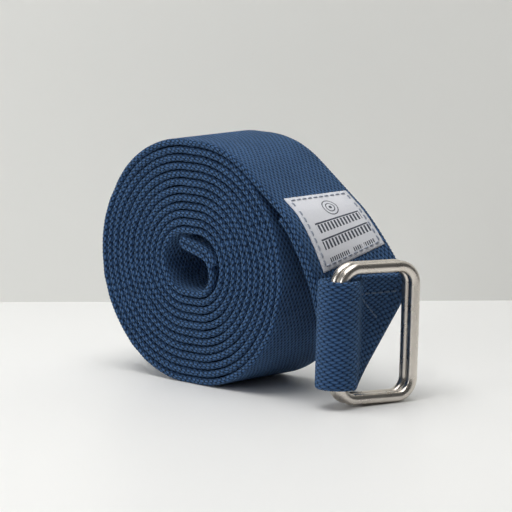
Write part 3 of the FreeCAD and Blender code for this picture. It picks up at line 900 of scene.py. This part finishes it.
# ---- who carries what
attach(webbing, "webbing")
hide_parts("webbing_roll", "webbing_end")
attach(label, "webbing")
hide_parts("label")
for node, piece in threads.items():
    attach(piece, "webbing")
    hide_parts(node)
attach(ring_back, "back_ring")
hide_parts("ring_back")
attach(ring_front, "front_ring")
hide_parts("ring_front")


# ---- camera: a long lens, 47 degrees round from the roll's face and 9 degrees up
VIEW, TILT, REACH = math.radians(46.7), math.radians(9.1), 1254.0
SENSOR, LENS = 36.0, 246.09375
AIM_RIGHT, AIM_UP = 0.0189428571, 0.0050285714
back = np.array([math.sin(VIEW) * math.cos(TILT), -math.cos(VIEW) * math.cos(TILT), math.sin(TILT)])
right = np.array([math.cos(VIEW), math.sin(VIEW), 0])
above = np.cross(back, right)
eye = (np.array([0, -EDGE, 40.0]) + back * REACH) * MM
aim = unit(-back + right * AIM_RIGHT + above * AIM_UP)
side_axis = unit(np.cross(aim, UP))
camera = bpy.data.objects.new("camera", bpy.data.cameras.new("camera"))
camera.data.lens = LENS
camera.data.sensor_width = SENSOR
camera.data.clip_start = 0.05
camera.matrix_world = Matrix(np.stack([
    np.append(side_axis, 0), np.append(np.cross(side_axis, aim), 0), np.append(-aim, 0),
    np.append(eye, 1)], 1).tolist())
bpy.context.scene.collection.objects.link(camera)
bpy.context.scene.camera = camera


# ---- table and wall
def studio_material(name, colour, rough):
    n = Nodes(name)
    mottle = n.noise(n.object_place(), 3.0, 3)
    shade = n.math("ADD", 0.985, n.math("MULTIPLY", mottle, 0.03))
    patches = n.ramp(shade, [(0.9, (0.97, 0.97, 0.97)), (1.0, (1, 1, 1))])
    n.set(Base_Color=n.mix(1.0, colour, patches, "MULTIPLY"), Roughness=rough)
    return n.material


def see_through(material):
    """Leaves the wall out for anyone standing behind it, so that the strap can be seen from there."""
    tree = material.node_tree
    side = tree.nodes.new("ShaderNodeNewGeometry")
    clear = tree.nodes.new("ShaderNodeBsdfTransparent")
    choose = tree.nodes.new("ShaderNodeMixShader")
    output = tree.nodes["Material Output"]
    tree.links.new(side.outputs["Backfacing"], choose.inputs[0])
    tree.links.new(tree.nodes["Principled BSDF"].outputs[0], choose.inputs[1])
    tree.links.new(clear.outputs[0], choose.inputs[2])
    tree.links.new(choose.outputs[0], output.inputs["Surface"])


STAGE, WALL_BACK = 3000.0, 178.0
corners = [(-STAGE, -STAGE, 0), (STAGE, -STAGE, 0), (STAGE, STAGE, 0), (-STAGE, STAGE, 0)]
table = make_mesh("table_top", corners, [[0, 1, 2, 3]], False)
table.data.materials.append(studio_material("table_white", (0.86, 0.86, 0.855), 0.45))
away = np.array([-back[0], -back[1], 0])
away = away / np.linalg.norm(away)
wall_at = np.array([0, -EDGE, 0]) + away * WALL_BACK
wide, tall = np.array([-away[1], away[0], 0]) * STAGE, UP * STAGE
wall = make_mesh("wall", [wall_at - wide, wall_at + wide, wall_at + wide + tall, wall_at - wide + tall],
                 [[3, 2, 1, 0]], False)
wall.data.materials.append(studio_material("wall_grey", (0.86, 0.86, 0.83), 0.9))
see_through(wall.data.materials[0])


# ---- light
def area_light(name, where, towards, size, power, colour):
    lamp = bpy.data.lights.new(name, "AREA")
    lamp.shape = "RECTANGLE"
    lamp.size, lamp.size_y = size
    lamp.energy = power
    lamp.color = colour
    obj = bpy.data.objects.new(name, lamp)
    obj.location = Vector(where)
    obj.rotation_euler = (Vector(towards) - Vector(where)).to_track_quat("-Z", "Y").to_euler()
    bpy.context.scene.collection.objects.link(obj)


def from_camera(rightwards, upwards, nearer):
    """A place given as metres right of, above and in front of the strap, as the camera sees it."""
    return tuple(right * rightwards + UP * upwards - away * nearer)


area_light("overhead", from_camera(-0.10, 0.95, 0.04), towards=(0.02, 0, 0.03), size=(1.0, 0.8), power=11.0,
           colour=(1.0, 0.995, 0.98))
area_light("side", from_camera(-0.8, 0.35, 0.6), towards=(0.0, 0, 0.04), size=(0.5, 0.6), power=2.7,
           colour=(0.98, 0.99, 1.0))
world = bpy.data.worlds.new("studio")
world.use_nodes = True
world.node_tree.nodes["Background"].inputs[0].default_value = (0.97, 0.98, 1.0, 1)
world.node_tree.nodes["Background"].inputs[1].default_value = 0.085
bpy.context.scene.world = world
bpy.context.scene.view_settings.view_transform = "Standard"
